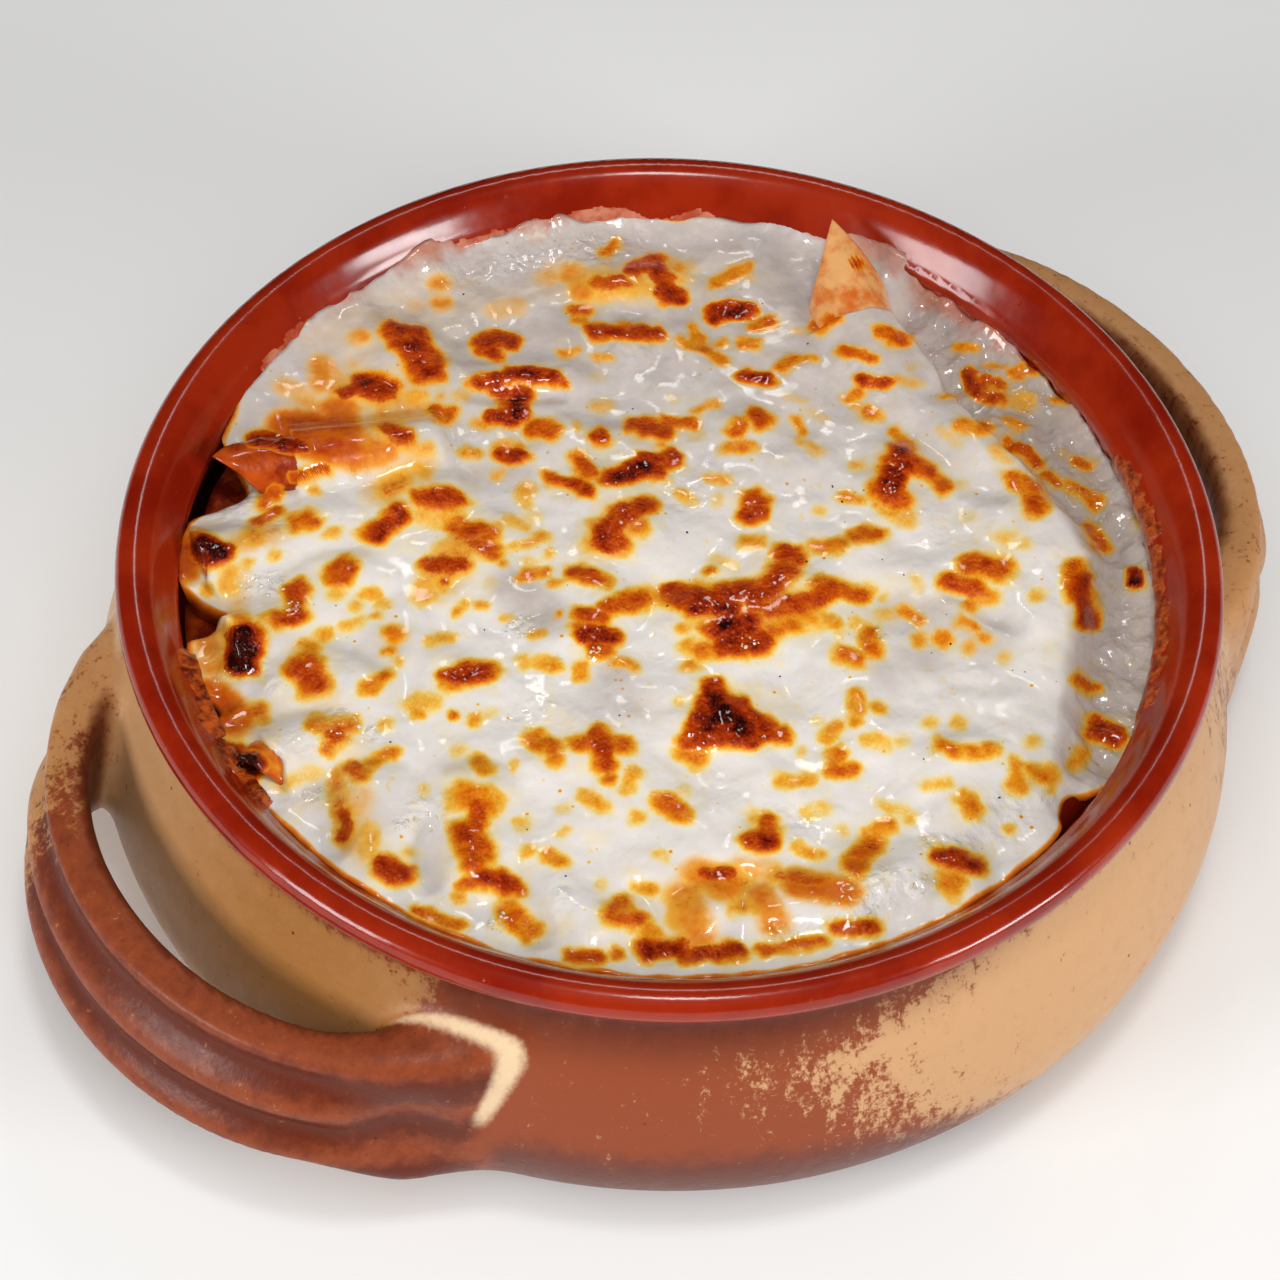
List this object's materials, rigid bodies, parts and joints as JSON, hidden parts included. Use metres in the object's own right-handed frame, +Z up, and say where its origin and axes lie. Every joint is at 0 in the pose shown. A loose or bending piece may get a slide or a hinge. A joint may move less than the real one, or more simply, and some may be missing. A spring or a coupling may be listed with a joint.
{
  "type": "baked pasta in a stoneware dish",
  "caption": "Baked pasta under melted, browned cheese, built together with the round stoneware dish with strap handles that it was baked in.",
  "frame": {"origin": "on the table under the axis of the round dish, at the middle of its flat base", "axes": "+X and -X through the middles of the strap handles, +Z up along the axis of the round dish, +Y completes the right hand; four of the exposed pasta ends lie beside the handle at -X"},
  "size_m": [0.215, 0.181, 0.055],
  "materials": {
    "stoneware": "glossy brick-red glaze inside and on the lip, satin tan and rust glaze outside",
    "cheese": "wet ivory, with red-brown to black baked spots",
    "sauce": "wet, deep tomato red",
    "pasta": "wet, orange with sauce"
  },
  "bodies": {
    "root": {"dish": "stoneware", "melted_cheese": "cheese", "pasta_filling": "sauce", "penne_back_right": "pasta", "penne_front_left": "pasta", "penne_front_right": "pasta", "penne_left": "pasta", "penne_left_back": "pasta", "penne_left_front": "pasta"}
  },
  "joints": []
}
